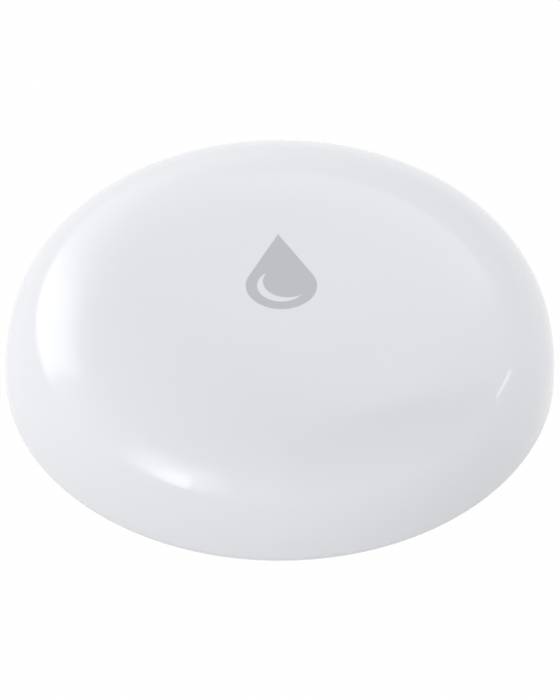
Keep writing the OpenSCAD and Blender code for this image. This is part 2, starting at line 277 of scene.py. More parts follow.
def addNode(tree, kind, values=None, **settings):
    node = tree.nodes.new(kind)
    for key, value in settings.items():
        setattr(node, key, value)
    return feed(tree, node, values or {})


def calc(tree, operation, *terms):
    return addNode(tree, "ShaderNodeMath", dict(enumerate(terms)), operation=operation).outputs[0]


# eases from start to end as value goes from first to last
def fade(tree, value, first, last, start, end):
    values = {"Value": value, "From Min": first, "From Max": last, "To Min": start, "To Max": end}
    return addNode(tree, "ShaderNodeMapRange", values, interpolation_type="SMOOTHSTEP").outputs["Result"]


# a skin of any stuff: cloudy tone, uneven gloss and a fine height, stretched by Grain
def makeSkinGroup():
    tree = bpy.data.node_groups.new("stuffSkin", "ShaderNodeTree")
    kinds = {"Color": "NodeSocketColor", "Grain": "NodeSocketVector"}
    sockets = {"INPUT": ("Color", "Tone", "Gloss", "Gloss Change", "Cloud Scale", "Grain"),
               "OUTPUT": ("Color", "Roughness", "Height")}
    for way, labels in sockets.items():
        for label in labels:
            tree.interface.new_socket(label, in_out=way, socket_type=kinds.get(label, "NodeSocketFloat"))
    given = tree.nodes.new("NodeGroupInput").outputs
    where = addNode(tree, "ShaderNodeTexCoord").outputs["Object"]
    clouds = {"Vector": where, "Scale": given["Cloud Scale"], "Detail": 4.0}
    cloud = addNode(tree, "ShaderNodeTexNoise", clouds).outputs["Fac"]
    fine = addNode(tree, "ShaderNodeVectorMath", {0: where, 1: given["Grain"]}, operation="MULTIPLY")
    grains = {"Vector": fine.outputs[0], "Scale": 1.0, "Detail": 3.0, "Roughness": 0.6}
    grain = addNode(tree, "ShaderNodeTexNoise", grains).outputs["Fac"]
    centred = calc(tree, "SUBTRACT", cloud, 0.5)
    mixed = calc(tree, "MULTIPLY_ADD", calc(tree, "SUBTRACT", grain, 0.5), 0.5, centred)
    tone = calc(tree, "MULTIPLY_ADD", mixed, given["Tone"], 1.0)
    color = addNode(tree, "ShaderNodeVectorMath", {0: given["Color"], "Scale": tone}, operation="SCALE")
    gloss = calc(tree, "MULTIPLY_ADD", mixed, given["Gloss Change"], given["Gloss"])
    addNode(tree, "NodeGroupOutput", {"Color": color.outputs[0], "Roughness": gloss, "Height": grain})
    return tree


stuffSkin = makeSkinGroup()


# how a stuff looks where a piece doesn't say otherwise
plainLook = {"tone": 0.03, "gloss": 0.4, "glossChange": 0.1, "cloud": 80.0, "grain": (2000, 2000, 2000),
             "bump": 0.1, "depth": 0.00003, "surface": {}}
metalLook = {**plainLook, "tone": 0.12, "gloss": 0.26, "glossChange": 0.16, "cloud": 300.0,
             "grain": (1500, 1500, 9000), "bump": 0.12, "surface": {"Metallic": 1.0}}


def newMaterial(name):
    mat = bpy.data.materials.new(name)
    mat.use_nodes = True
    return mat, mat.node_tree, mat.node_tree.nodes["Principled BSDF"]


def finish(name, color, base=plainLook, **look):
    look = {**base, **look}
    mat, tree, surface = newMaterial(name)
    values = {"Color": (*color, 1), "Tone": look["tone"], "Gloss": look["gloss"],
              "Gloss Change": look["glossChange"], "Cloud Scale": look["cloud"], "Grain": look["grain"]}
    skin = addNode(tree, "ShaderNodeGroup", values, node_tree=stuffSkin).outputs
    relief = {"Strength": look["bump"], "Distance": look["depth"], "Height": skin["Height"]}
    normal = addNode(tree, "ShaderNodeBump", relief).outputs["Normal"]
    feed(tree, surface, {"Base Color": skin["Color"], "Roughness": skin["Roughness"], "Normal": normal})
    feed(tree, surface, look["surface"])
    return mat


polishedWhite = finish("polishedWhite", (0.84, 0.853, 0.888), tone=0.008, gloss=0.07, glossChange=0.02,
                       bump=0.02, depth=0.00002, grain=(700, 700, 700), surface={"IOR": 1.6})
tinned = finish("tinnedSheet", (0.66, 0.66, 0.65), metalLook)
blackResin = finish("blackResin", (0.022, 0.022, 0.024), gloss=0.5, bump=0.25)
print("shared finishes made")


# the dome that the cover and the drop follow; on the real cover the crown gives under a press
shellLow, shellHigh = nodeBox("top_shell")
dome = {"radius": shellHigh[0], "height": cadBox[1].z / mm, "equator": 2.2, "crownPower": 4.0,
        "shoulderPower": 2.65, "crownShare": 0.84, "giveFrom": 13.8}


def domeHeight(r, top=dome["height"], radius=dome["radius"]):
    share = min(abs(r) / radius, 1.0)
    rise = (1.0 - share ** dome["crownPower"]) ** (1.0 / dome["shoulderPower"])
    return dome["equator"] + (top - dome["equator"]) * rise


def domeRadius(z, top, radius):
    share = max(0.0, min((z - dome["equator"]) / (top - dome["equator"]), 1.0))
    return radius * (1.0 - share ** dome["shoulderPower"]) ** (1.0 / dome["crownPower"])


# crown to flank, evenly by radius over the crown and by height below it
def domeCurve(top, radius, lowest, crownSteps, flankSteps):
    rims = [radius * dome["crownShare"] * i / crownSteps for i in range(crownSteps + 1)]
    points = [(r, domeHeight(r, top, radius)) for r in rims]
    high = points[-1][1]
    levels = [high + (lowest - high) * i / flankSteps for i in range(1, flankSteps + 1)]
    return points + [(domeRadius(z, top, radius), z) for z in levels]


# fixes the piece's placing into its mesh; the crown is not made to sink here
def giveWithPress(piece):
    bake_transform(piece)


# the cover: one turned wall with screw bosses inside
sealLow, sealHigh = nodeBox("seal_ring")
boardLow, boardHigh = nodeBox("circuit_board")
screwLow, screwHigh = nodeBox("board_screws")
boardScrewAt = screwHigh[1] - screwHigh[0]  # how far before and behind the middle the board screws stand
cover = {
    "bottom": shellLow[2], "seat": sealHigh[2], "wall": 1.5, "lip": 21.4, "mouth": 21.0, "edge": 0.08,
    "ledge": 18.4, "ledgeTop": 3.3, "inlayLift": 0.012, "segments": 192, "lipSteps": 20,
    "outerSteps": (48, 56), "innerSteps": (24, 28),  # over the crown, down the flank
    "bossTop": 13.5, "bossSegments": 48, "tipGap": 0.03,
    "insertBoss": (2.9, 2.0), "screwBoss": (1.7, 0.83),  # radius, bore
}


def makeCover(bottom, seat, wall, lip, mouth, edge, ledge, ledgeTop, inlayLift, segments, lipSteps,
              outerSteps, innerSteps, bossTop, bossSegments, tipGap, insertBoss, screwBoss):
    radius, top, equator = dome["radius"], dome["height"], dome["equator"]
    outline = domeCurve(top - inlayLift, radius, equator, *outerSteps)
    for x, z in roundEdge(0, 0, 1.0, 0, 90, lipSteps)[1:]:
        outline.append((lip + (radius - lip) * x, equator - (equator - bottom) * z))
    outline += [(mouth + edge, bottom), (mouth, bottom + edge), (mouth, seat), (ledge, seat),
                (ledge, ledgeTop)]
    outline += domeCurve(top - wall, radius - wall, ledgeTop, *innerSteps)[::-1]
    shell = turnedPiece("coverShell", outline, segments)
    foot, insertTop = boardHigh[2], nodeBox("probe_insert_left")[1][2]
    spots = [(nodeMiddle("probe_insert_" + side), insertTop, insertBoss) for side in sides]
    spots += [((0.0, y), screwHigh[2] + tipGap, screwBoss) for y in (-boardScrewAt, boardScrewAt)]
    bm = bmesh.new()
    for spot, end, (wide, bore) in spots:
        boss = [(bore, foot), (wide, foot), (wide, bossTop), (0, bossTop), (0, end), (bore, end)]
        addLathe(bm, boss, bossSegments, spot)
    carve(shell, solid("bosses", bm), "UNION")
    giveWithPress(place(shell, polishedWhite, ["top_shell"], body=None, sharp=40))


makeCover(**cover)

pressPost = {"radius": 2.0, "foot": 12.35, "top": 14.2, "edge": 0.2, "segments": 48}


def makePressPost(radius, foot, top, edge, segments):
    outline = [(0, foot), *roundEdge(radius - edge, foot + edge, edge, -90, 0), (radius, top), (0, top)]
    post = turnedPiece("pressPost", outline, segments)
    place(post, polishedWhite, ["top_shell"], body="plunger")


makePressPost(**pressPost)
print("cover made")


# the drop on the crown, a thin inlay that follows the dome
dropMark = {"round": 3.2, "length": 10.3, "tip": nodeBox("drop_mark")[1][1], "thick": 0.18, "grid": 0.42,
            "steps": 64, "crescent": 2.2, "crescentWide": 0.8, "crescentTurn": 225.0, "crescentSteps": 40}
dropMiddle = dropMark["tip"] - dropMark["length"] + dropMark["round"]


def inside(p, loop):
    hit = False
    for (x0, y0), (x1, y1) in zip(loop, loop[1:] + loop[:1]):
        if (y0 > p[1]) != (y1 > p[1]) and p[0] < (x1 - x0) * (p[1] - y0) / (y1 - y0) + x0:
            hit = not hit
    return hit


# a round end and two straight sides that meet it as tangents at the tip
def dropOutline():
    r, tip = dropMark["round"], dropMark["tip"]
    flank = degrees(acos(r / (tip - dropMiddle)))
    return [(0.0, tip)] + roundEdge(0, dropMiddle, r, 90 + flank, 450 - flank, dropMark["steps"])


# the crescent lies between two equal circles, one shifted by its width
def crescentOutline():
    r, shift, steps = dropMark["crescent"], dropMark["crescentWide"], dropMark["crescentSteps"]
    half = degrees(acos(-shift / 2 / r))
    moon = roundEdge(0, 0, r, -half, half, steps)
    moon += roundEdge(-shift, 0, r, 180 - half, half - 180, steps)[1:-1]
    spin = Matrix.Rotation(radians(dropMark["crescentTurn"]), 2)
    return [(p.x, p.y + dropMiddle) for p in (spin @ Vector(p) for p in moon)]


def makeDrop():
    outer, moon, step = dropOutline(), crescentOutline(), dropMark["grid"]

    def inDrop(p):
        return inside(p, outer) and not inside(p, moon)

    edges = [(i, (i + 1) % len(outer)) for i in range(len(outer))]
    edges += [(len(outer) + i, len(outer) + (i + 1) % len(moon)) for i in range(len(moon))]
    reach = ceil(dropMark["length"] / step)
    steps = range(-reach, reach + 1)
    grid = [(i * step, j * step) for i in steps for j in steps]
    points = outer + moon + [p for p in grid if inDrop(p)]
    flat, _, faces = delaunay_2d_cdt([Vector(p) for p in points], edges, [], 0, tiny)[:3]
    kept = []
    for face in faces:
        middle = sum((flat[i] for i in face), Vector((0.0, 0.0))) / len(face)
        if inDrop(middle):
            kept.append(face)
    bm = bmesh.new()
    tops, lows, rims = {}, {}, set()
    for i in sorted({i for face in kept for i in face}):
        x, y = flat[i]
        z = domeHeight(hypot(x, y))
        tops[i] = bm.verts.new((x, y, z))
        lows[i] = bm.verts.new((x, y, z - dropMark["thick"]))
    for face in kept:
        bm.faces.new([tops[i] for i in face])
        bm.faces.new([lows[i] for i in reversed(face)])
        rims.update(zip(face, list(face[1:]) + [face[0]]))
    for a, b in rims:
        if (b, a) not in rims:
            bm.faces.new((tops[b], tops[a], lows[a], lows[b]))
    look = finish("dropGrey", (0.555, 0.565, 0.59), tone=0.02, gloss=0.12, glossChange=0.03,
                  cloud=200.0, bump=0.02, depth=0.00002, surface={"IOR": 1.5})
    giveWithPress(place(solid("dropInlay", bm), look, ["drop_mark"], body=None, sharp=30))


makeDrop()
print("drop made")


# the base plate with its feet, centring ring, seal groove and probe posts
baseHigh = nodeBox("base_cover")[1]
base = {
    "radius": baseHigh[0], "under": cover["bottom"], "top": cover["seat"], "high": baseHigh[2],
    "edge": 0.3, "topBreak": 0.1, "segments": 160, "groove": (19.0, 20.2),
    "recess": (9.0, 0.15, 0.1),  # radius, depth, slope
    "ring": (17.25, 18.25, 3.2, 0.15),  # inner and outer radius, top, edge
    "post": (3.35, 0.2, 64), "foot": (2.0, 0.22, 48),  # radius, edge, segments
    "mark": (1.1, 0.06, 32),  # the ejector marks: radius, depth, segments
    "footSpots": spotsAround(18.8, (45, 135, 225, 315)),
    "markSpots": spotsAround(14.4, (35, 90, 145, 215, 270, 325)),
    "head": 2.55, "shoulder": 2.7, "shank": 1.4, "mouth": 0.25, "slope": 0.2,  # the probes' bores
}


def makeBase(radius, under, top, high, edge, topBreak, segments, groove, recess, ring, post, foot, mark,
             footSpots, markSpots, head, shoulder, shank, mouth, slope):
    recessR, deep, recessSlope = recess
    ringIn, ringOut, ringTop, ringEdge = ring
    outline = [(0, under + deep), (recessR - recessSlope, under + deep), (recessR, under + deep / 2),
               (recessR + recessSlope, under), *roundEdge(radius - edge, under + edge, edge, -90, 0),
               (radius, top - topBreak), (radius - topBreak, top), (groove[1], top), (groove[1], sealLow[2]),
               (groove[0], sealLow[2]), (groove[0], top), (ringOut, top),
               *roundEdge(ringOut - ringEdge, ringTop - ringEdge, ringEdge, 0, 90),
               *roundEdge(ringIn + ringEdge, ringTop - ringEdge, ringEdge, 90, 180), (ringIn, top), (0, top)]
    plate = turnedPiece("basePlate", outline, segments)
    middle = (under + top) / 2
    probeSpots = [nodeMiddle("probe_screw_" + side) for side in sides]
    bm = bmesh.new()
    r, edge, segments = post
    outline = [(0, middle), (r, middle), *roundEdge(r - edge, high - edge, edge, 0, 90), (0, high)]
    addLathe(bm, outline, segments, *probeSpots)
    r, edge, segments = foot
    outline = [(0, 0), *roundEdge(r - edge, edge, edge, -90, 0), (r, middle), (0, middle)]
    addLathe(bm, outline, segments, *footSpots)
    carve(plate, solid("tool", bm), "UNION")
    bm = bmesh.new()
    outline = [(0, under - past), (head + mouth, under - past), (head + mouth, under), (head, under + slope),
               (head, shoulder), (shank, shoulder), (shank, high - slope), (shank + slope, high),
               (shank + slope, high + past), (0, high + past)]
    addLathe(bm, outline, post[2], *probeSpots)
    r, deep, segments = mark
    addLathe(bm, peg(r, top - deep, top + past), segments, *markSpots)
    carve(plate, solid("tool", bm))
    look = finish("texturedWhite", (0.74, 0.75, 0.77), tone=0.03, gloss=0.42, glossChange=0.1,
                  cloud=60.0, grain=(5500, 5500, 5500), bump=0.35, depth=0.00006, surface={"IOR": 1.5})
    place(plate, look, ["base_cover"], body="base")


makeBase(**base)


# a flattened cord with round flanks, pressed between base and cover
def makeSealRing(flankSteps=10):
    mid, level = sum(base["groove"]) / 2, (sealLow[2] + sealHigh[2]) / 2
    flank = (sealHigh[2] - sealLow[2]) / 2
    reach = sealHigh[0] - mid - flank
    outline = roundEdge(mid + reach, level, flank, -90, 90, flankSteps)
    outline += roundEdge(mid - reach, level, flank, 90, 270, flankSteps)
    look = finish("sealSilicone", (0.52, 0.53, 0.56), tone=0.05, gloss=0.34, cloud=120.0, bump=0.12,
                  surface={"IOR": 1.42, "Subsurface Weight": 0.3, "Subsurface Radius": (0.4, 0.4, 0.45),
                           "Subsurface Scale": 0.001})
    ring = turnedPiece("sealRing", outline, base["segments"])
    place(ring, look, ["seal_ring"], body="base")


makeSealRing()

# the foam pad under the cell, crowned, with edges that draw in; shares are of the edge and the thickness
foam = {"crown": 0.1, "crownPower": 4, "edge": 0.22, "edgeSteps": 8, "footShare": 0.6, "edgeShare": 0.45,
        "wave": 0.02, "along": 2.3, "across": 1.9, "stillBelow": 0.1, "segments": 96, "steps": 14}
foamCells = {"scale": 3200.0, "strength": 0.8, "depth": 0.0001}


def makeFoam(crown, crownPower, edge, edgeSteps, footShare, edgeShare, wave, along, across, stillBelow,
             segments, steps):
    r, foot, top = roundNode("battery_pad")[2:]
    flat, edgeLevel = r - edge, foot + (top - foot) * edgeShare
    outline = [(0, foot), (r - edge * footShare, foot)]
    outline += roundEdge(flat, edgeLevel, edge, -60, 90, edgeSteps)[:-1]
    for i in range(steps, -1, -1):
        share = i / steps
        outline.append((flat * share, top - crown * share ** crownPower))
    pad = turnedPiece("foamPad", outline, segments)
    for v in pad.data.vertices:
        if v.co.z > foot + stillBelow:
            v.co.z -= wave * (1 + sin(v.co.x * along) * cos(v.co.y * across))
    place(pad, makeFoamFinish(**foamCells), ["battery_pad"], body="base")


# open cells: dark pits between lighter struts
def makeFoamFinish(scale, strength, depth):
    mat = finish("foamDark", (0.035, 0.035, 0.038), tone=0.5, gloss=0.9, bump=0.3, depth=0.0001)
    tree = mat.node_tree
    where = {"Vector": addNode(tree, "ShaderNodeTexCoord").outputs["Object"], "Scale": scale}
    cells = addNode(tree, "ShaderNodeTexVoronoi", where, feature="DISTANCE_TO_EDGE").outputs["Distance"]
    relief = {"Strength": strength, "Distance": depth, "Height": cells}
    pits = addNode(tree, "ShaderNodeBump", relief, invert=True)
    feed(tree, tree.nodes["Principled BSDF"], {"Normal": pits.outputs["Normal"]})
    return mat


makeFoam(**foam)
print("base, seal and foam made")


# what all screws share; the cross is wider at its mouth and narrower at its floor, by these shares
screwForm = {"segments": 32, "perTurn": 8, "headSteps": 4, "headBreak": 0.08, "neck": 0.97, "neckGap": 0.02,
             "tooth": (1.3, 0.15), "point": 0.5, "pointRise": 0.1, "pointRoot": 0.85, "pointEnd": 0.5,
             "crossOut": 0.3, "crossMouth": (1.1, 1.05), "crossFloor": (0.62, 0.7)}
squareCorners = ((-1, -1), (1, -1), (1, 1), (-1, 1))


# a screw, head down: tapered cross recess, helical thread and a turned point
def makeScrew(name, x, y, low, neck, end, head, shank, root, pitch, plain, edge, cross):
    segments, broken, neckR = screwForm["segments"], screwForm["headBreak"], shank * screwForm["neck"]
    start, stop = neck + plain, end - shank * screwForm["point"]
    outline = [(0, low), *roundEdge(head - edge, low + edge, edge, -90, 0, screwForm["headSteps"]),
               (head, neck - broken), (head - broken, neck), (neckR, neck),
               (neckR, start - screwForm["neckGap"])]
    rings = [circle(r, z, segments, x, y) for r, z in outline]
    count = int((stop - start) / pitch * screwForm["perTurn"])
    steep, sunk = screwForm["tooth"]
    for i in range(count + 1):
        z = start + (stop - start) * i / count
        phases = [(z / pitch - k / segments) % 1.0 for k in range(segments)]
        teeth = [min(1.0, max(0.0, steep * abs(2 * phase - 1) - sunk)) for phase in phases]
        rings.append(roundLoop([root + (shank - root) * tooth for tooth in teeth], z, x, y))
    tip = [(root * screwForm["pointRoot"], stop + screwForm["pointRise"]),
           (root * screwForm["pointEnd"], end), (0, end)]
    rings += [circle(r, z, segments, x, y) for r, z in tip]
    bm = bmesh.new()
    addRings(bm, rings)
    screw = solid(name, bm)
    long, wide, deep = cross
    levels = ((low - screwForm["crossOut"], screwForm["crossMouth"]), (low + deep, screwForm["crossFloor"]))
    for turn in (0, 90):
        spin = Matrix.Rotation(radians(turn), 2)
        loops = []
        for z, (longShare, wideShare) in levels:
            halfLong, halfWide = long * longShare / 2, wide * wideShare / 2
            corners = [spin @ Vector((a * halfLong, b * halfWide)) for a, b in squareCorners]
            loops.append([(x + c.x, y + c.y, z) for c in corners])
        bm = bmesh.new()
        addCapped(bm, loops)
        carve(screw, solid("tool", bm))
    return screw


# the two probes, which sense water and hold the base on
probe = {"shank": 1.25, "root": 1.0, "pitch": 0.45, "plain": 1.2, "edge": 0.18,
         "cross": (2.6, 0.7, 0.7)}  # length, width, depth
probeHeadHigh = 1.2
probeSteel = finish("probeSteel", (0.62, 0.62, 0.61), metalLook, gloss=0.22, grain=(4000, 4000, 12000))


def makeProbe(side):
    node = "probe_screw_" + side
    x, y, r, foot, top = roundNode(node)
    screw = makeScrew("probe_" + side, x, y, foot, foot + probeHeadHigh, top, r, **probe)
    place(screw, probeSteel, [node], body=side + "_probe")


probeRing = {"steps": 20, "segments": 64}
rubber = finish("rubberBlack", (0.018, 0.018, 0.019), tone=0.1, gloss=0.55, bump=0.2)


def makeProbeRing(side, steps, segments):
    node = "probe_seal_" + side
    x, y, r, foot, top = roundNode(node)
    cord, last = (top - foot) / 2, steps - 1
    outline = roundEdge(r - cord, foot + cord, cord, 0, 360 * last / steps, last)
    ring = turnedPiece("probeRing_" + side, outline, segments, x, y)
    place(ring, rubber, [node], body=side + "_seal")


# two knurled bands, cut left and right, with a plain waist between
insert = {"teeth": 20, "perTooth": 6, "rows": 28, "cut": 0.16, "bore": 1.28, "edge": 0.2, "slant": 0.5,
          "waist": (0.42, 0.58), "waistCut": 0.3}
brass = finish("insertBrass", (0.72, 0.47, 0.16), metalLook, gloss=0.24)


def makeInsert(side, teeth, perTooth, rows, cut, bore, edge, slant, waist, waistCut):
    node = "probe_insert_" + side
    x, y, wide, foot, top = roundNode(node)
    segments = teeth * perTooth
    turns = [2 * pi * k / segments for k in range(segments)]
    rings = [circle(r, foot, segments, x, y) for r in (bore + edge, wide - edge)]
    for i in range(1, rows):
        share = i / rows
        lean = slant * share if share < 0.5 else -slant * share
        radii = [wide - cut * (0.5 - 0.5 * cos(teeth * (turn + lean))) for turn in turns]
        if waist[0] < share < waist[1]:
            radii = [wide - waistCut] * segments
        rings.append(roundLoop(radii, foot + (top - foot) * share, x, y))
    mouth = [(wide - edge, top), (bore + edge, top), (bore, top - edge), (bore, foot + edge)]
    rings += [circle(r, z, segments, x, y) for r, z in mouth]
    bm = bmesh.new()
    addRings(bm, rings, closed=True)
    place(solid("probeInsert_" + side, bm), brass, [node])


for side in sides:
    makeProbe(side)
    makeProbeRing(side, **probeRing)
    makeInsert(side, **insert)
print("probes made")


# the round radio board, its copper under green mask, bare pads and white part outlines
board = {"edge": 0.06, "segments": 128, "probeHole": 1.4, "screwHole": 0.95, "holeSegments": 40}
holes = [(*nodeMiddle("probe_screw_" + side), board["probeHole"]) for side in sides]
holes += [(0.0, y, board["screwHole"]) for y in (boardScrewAt, -boardScrewAt)]
rowCounts = {"capacitors": 6, "resistors": 5}
rowPartDeep = 0.8


# the parts of a row node, as (low, high) corners
def rowParts(node, count):
    low, high = nodeBox(node)
    step = (high[1] - low[1] - rowPartDeep) / (count - 1)
    starts = [low[1] + i * step for i in range(count)]
    return [([low[0], y, low[2]], [high[0], y + rowPartDeep, high[2]]) for y in starts]


rows = {node: rowParts(node, count) for node, count in rowCounts.items()}
radioBox, crystalBox, lampBox = (nodeBox(node) for node in ("radio_chip", "crystal", "indicator_led"))
twoEnded = rows["capacitors"] + rows["resistors"]


# a flat run of copper or print on the board, square in section
def addTrace(bm, points, wide, low, high):
    path = [Vector(p) for p in points]
    rings = []
    for i, p in enumerate(path):
        before, after = path[max(i - 1, 0)], path[min(i + 1, len(path) - 1)]
        ahead = (after - before).normalized()
        run = ((path[i + 1] - p) if i + 1 < len(path) else (p - path[i - 1])).normalized()
        normal = Vector((-ahead.y, ahead.x)) * wide / 2 / max(0.5, abs(ahead.dot(run)))
        left, right = p - normal, p + normal
        rings.append([(*left, low), (*right, low), (*right, high), (*left, high)])
    addCapped(bm, rings)


def makeBoard():
    r, low, high, edge = boardHigh[0], boardLow[2], boardHigh[2], board["edge"]
    outline = [(0, low), (r - edge, low), (r, low + edge), (r, high - edge), (r - edge, high), (0, high)]
    plate = turnedPiece("boardPlate", outline, board["segments"])
    bm = bmesh.new()
    for x, y, hole in holes:
        addLathe(bm, peg(hole, low - past, high + past), board["holeSegments"], (x, y))
    carve(plate, solid("tool", bm))
    look = finish("boardGreen", (0.012, 0.115, 0.05), tone=0.25, gloss=0.3, glossChange=0.12,
                  cloud=220.0, grain=(1600, 1600, 1600), bump=0.18)
    place(plate, look, ["circuit_board"])


pads = {
    "tall": 0.03, "edge": 0.01, "ringGap": 0.02, "ringWide": 0.6, "out": 0.25, "long": 0.55, "beside": 0.06,
    "switchAt": 2.3, "switchHalf": 0.5, "switchSpans": ((-4.3, -3.3), (3.3, 4.3)),
    # under the clip's feet and the contact's root: span, width, turn
    "under": (((9.9, 12.1), 8.6, 45), ((9.9, 12.1), 8.6, 225), ((-4.8, -1.3), 4.4, 0)),
}


def makePads(tall, edge, ringGap, ringWide, out, long, beside, under, switchAt, switchHalf, switchSpans):
    bm = bmesh.new()
    up, down = boardHigh[2], boardLow[2]
    for x, y, hole in holes:
        near, far = hole + ringGap, hole + ringWide
        for z0, z1 in ((up, up + tall), (down - tall, down)):
            addLathe(bm, [(near, z0), (far, z0), (far, z1), (near, z1)], board["holeSegments"], (x, y))
    for low, high in twoEnded + [crystalBox, lampBox]:
        for x0, x1 in endSpans(low[0] - out, high[0] + out, long):
            addBlock(bm, (x0, low[1] - beside, up), (x1, high[1] + beside, up + tall), edge, 1)
    for span, wide, turn in under:
        addStrip(bm, [Vector((x, down - tall / 2)) for x in span], tall, wide, turn, 0.0, edge)
    for x in (-switchAt, switchAt):
        for y0, y1 in switchSpans:
            addBlock(bm, (x - switchHalf, y0, up), (x + switchHalf, y1, up + tall), edge, 1)
    look = finish("padGold", (0.78, 0.58, 0.25), metalLook, gloss=0.3)
    place(solid("boardPads", bm), look, ())


# copper runs on top, from the small parts to the chip and outwards
topCopper = {"start": 0.2, "firstCapacitor": 2, "bend": -1.2, "chipFirst": 0.6, "chipStep": 1.6,
             "fanReach": 3.2, "fanSlope": 0.5, "fanMiddle": -8, "fan": ((0.4, 0), (0, 0.4), (0, 1.1)),
             "out": ((10.2, 0), (11.0, 0.8), (11.0, 1.6)),
             "downSpots": (5.8, 7.4, 9.0), "downBend": 3.6, "downCorner": 0.7}
# and underneath, from the probes, the board screws and the cell's contact, on both sides of the middle
underCopper = {"probeRun": ((12.4, 0), (9.6, 2.8), (5.2, 2.8)), "probeEnd": (5.2, 0.5), "probeWide": 0.5,
               "screwRun": ((0, 12.6), (3, 9.6), (3, 4.2)), "screwWide": 0.4,
               "count": 4, "first": 5.2, "step": 1.1, "near": 2.0, "far": 5.0, "less": 0.6, "corner": 1.2}
copper = {"high": 0.018, "wide": 0.25}


def topRuns(start, firstCapacitor, bend, chipFirst, chipStep, fanReach, fanSlope, fanMiddle, fan, out,
            downSpots, downBend, downCorner):
    chipX, chipY = radioBox[0][:2]
    runs = []
    for i, (low, high) in enumerate(rows["capacitors"][firstCapacitor:]):
        y, end = (low[1] + high[1]) / 2, chipY + chipFirst + chipStep * i
        runs.append([(high[0] + start, y), (bend, y), (bend + abs(end - y), end), (chipX, end)])
    for low, high in rows["resistors"]:
        y = (low[1] + high[1]) / 2
        reach = fanReach - fanSlope * abs(y - fanMiddle)
        runs.append([(low[0] - start, y)] + [(reach + x, y + rise) for x, rise in fan])
        runs.append([(high[0] + start, y)] + [(x, y + rise) for x, rise in out])
    for x in downSpots:
        runs.append([(x, chipY), (x, downBend), (x - downCorner, downBend - downCorner)])
    return [(run, copper["wide"]) for run in runs]


def underRuns(probeRun, probeEnd, probeWide, screwRun, screwWide, count, first, step, near, far, less,
              corner):
    runs = []
    for side in (-1, 1):
        last = (side * probeEnd[0], probeEnd[1])
        runs.append(([(side * x, side * y) for x, y in probeRun] + [last], probeWide))
        runs.append(([(side * x, side * y) for x, y in screwRun], screwWide))
        for i in range(count):
            y, x = side * (first + step * i), far - less * i
            run = [(-side * near, y), (-side * x, y), (-side * (x + corner), y + corner)]
            runs.append((run, copper["wide"]))
    return runs


def makeTraces():
    bm = bmesh.new()
    up, down, high = boardHigh[2], boardLow[2], copper["high"]
    for points, wide in topRuns(**topCopper):
        addTrace(bm, points, wide, up, up + high)
    for points, wide in underRuns(**underCopper):
        addTrace(bm, points, wide, down - high, down)
    look = finish("traceGreen", (0.03, 0.2, 0.085), tone=0.2, gloss=0.28, cloud=220.0, bump=0.1)
    place(solid("boardTraces", bm), look, ())


partPrint = {"tall": 0.012, "wide": 0.12, "gap": 0.3, "endGap": 0.36, "dot": 0.22, "dotAway": 0.6,
             "segments": 24}


def makePrint(tall, wide, gap, endGap, dot, dotAway, segments):
    bm = bmesh.new()
    up = boardHigh[2]
    for low, high in twoEnded + [radioBox, crystalBox, lampBox]:
        x0, x1, y0, y1 = low[0] - endGap, high[0] + endGap, low[1] - gap, high[1] + gap
        for points in ([(x0, y0), (x1, y0)], [(x1, y1), (x0, y1)]):
            addTrace(bm, points, wide, up, up + tall)
    x, y = radioBox[0][:2]
    addLathe(bm, peg(dot, up, up + tall), segments, (x - dotAway, y - dotAway))
    look = finish("printWhite", (0.78, 0.78, 0.76), tone=0.08, gloss=0.6)
    place(solid("boardPrint", bm), look, ())


makeBoard()
makePads(**pads)
makeTraces()
makePrint(**partPrint)

boardScrew = {"shank": 0.8, "root": 0.58, "pitch": 0.6, "plain": 1.05, "edge": 0.2,
              "cross": (1.6, 0.42, 0.36)}


def makeBoardScrews():
    look = finish("zincSteel", (0.55, 0.57, 0.6), metalLook, gloss=0.3)
    levels = screwLow[2], boardLow[2], screwHigh[2]
    for label, y in (("front", -boardScrewAt), ("rear", boardScrewAt)):
        screw = makeScrew("boardScrew_" + label, 0.0, y, *levels, screwHigh[0], **boardScrew)
        place(screw, look, ["board_screws"])


makeBoardScrews()
print("board made")


# the coin cell: a drawn can and a cap with a dark ring between
can = {"bend": 0.5, "wall": 0.2, "rimOut": (0.06, 0.1), "rimIn": (0.04, 0.05),  # edge breaks: across, down
       "plusAt": (0.0, -6.4), "plus": (2.2, 0.5, 0.06), "plusEdge": 0.02}  # the plus: length, width, depth
cap = {"bend": 0.35, "wall": 0.2}
cell = {"bendSteps": 8, "segments": 128}
cellSteel = finish("cellNickel", (0.68, 0.68, 0.67), metalLook, gloss=0.3, grain=(9000, 600, 9000))


def makeCan(bend, wall, rimOut, rimIn, plusAt, plus, plusEdge):
    r, foot, top = roundNode("battery_can")[2:]
    steps = cell["bendSteps"]
    outline = [(0, foot), *roundEdge(r - bend, foot + bend, bend, -90, 0, steps),
               (r, top - rimOut[1]), (r - rimOut[0], top),
               (r - wall + rimIn[0], top), (r - wall, top - rimIn[1]),
               *roundEdge(r - bend, foot + bend, bend - wall, 0, -90, steps), (0, foot + wall)]
    piece = turnedPiece("cellCan", outline, cell["segments"])
    x, y = plusAt
    long, wide, deep = plus
    for a, b in ((long, wide), (wide, long)):
        start, end = (x - a / 2, y - b / 2, foot - past), (x + a / 2, y + b / 2, foot + deep)
        carve(piece, blockPiece("tool", start, end, plusEdge, 1))
    place(piece, cellSteel, ["battery_can"])


def makeCap(bend, wall):
    r, foot, top = roundNode("battery_cap")[2:]
    steps = cell["bendSteps"]
    outline = [(r - wall, foot), (r, foot), *roundEdge(r - bend, top - bend, bend, 0, 90, steps),
               (0, top), (0, top - wall), *roundEdge(r - bend, top - bend, bend - wall, 90, 0, steps)]
    place(turnedPiece("cellCap", outline, cell["segments"]), cellSteel, ["battery_cap"])


makeCan(**can)
makeCap(**cap)


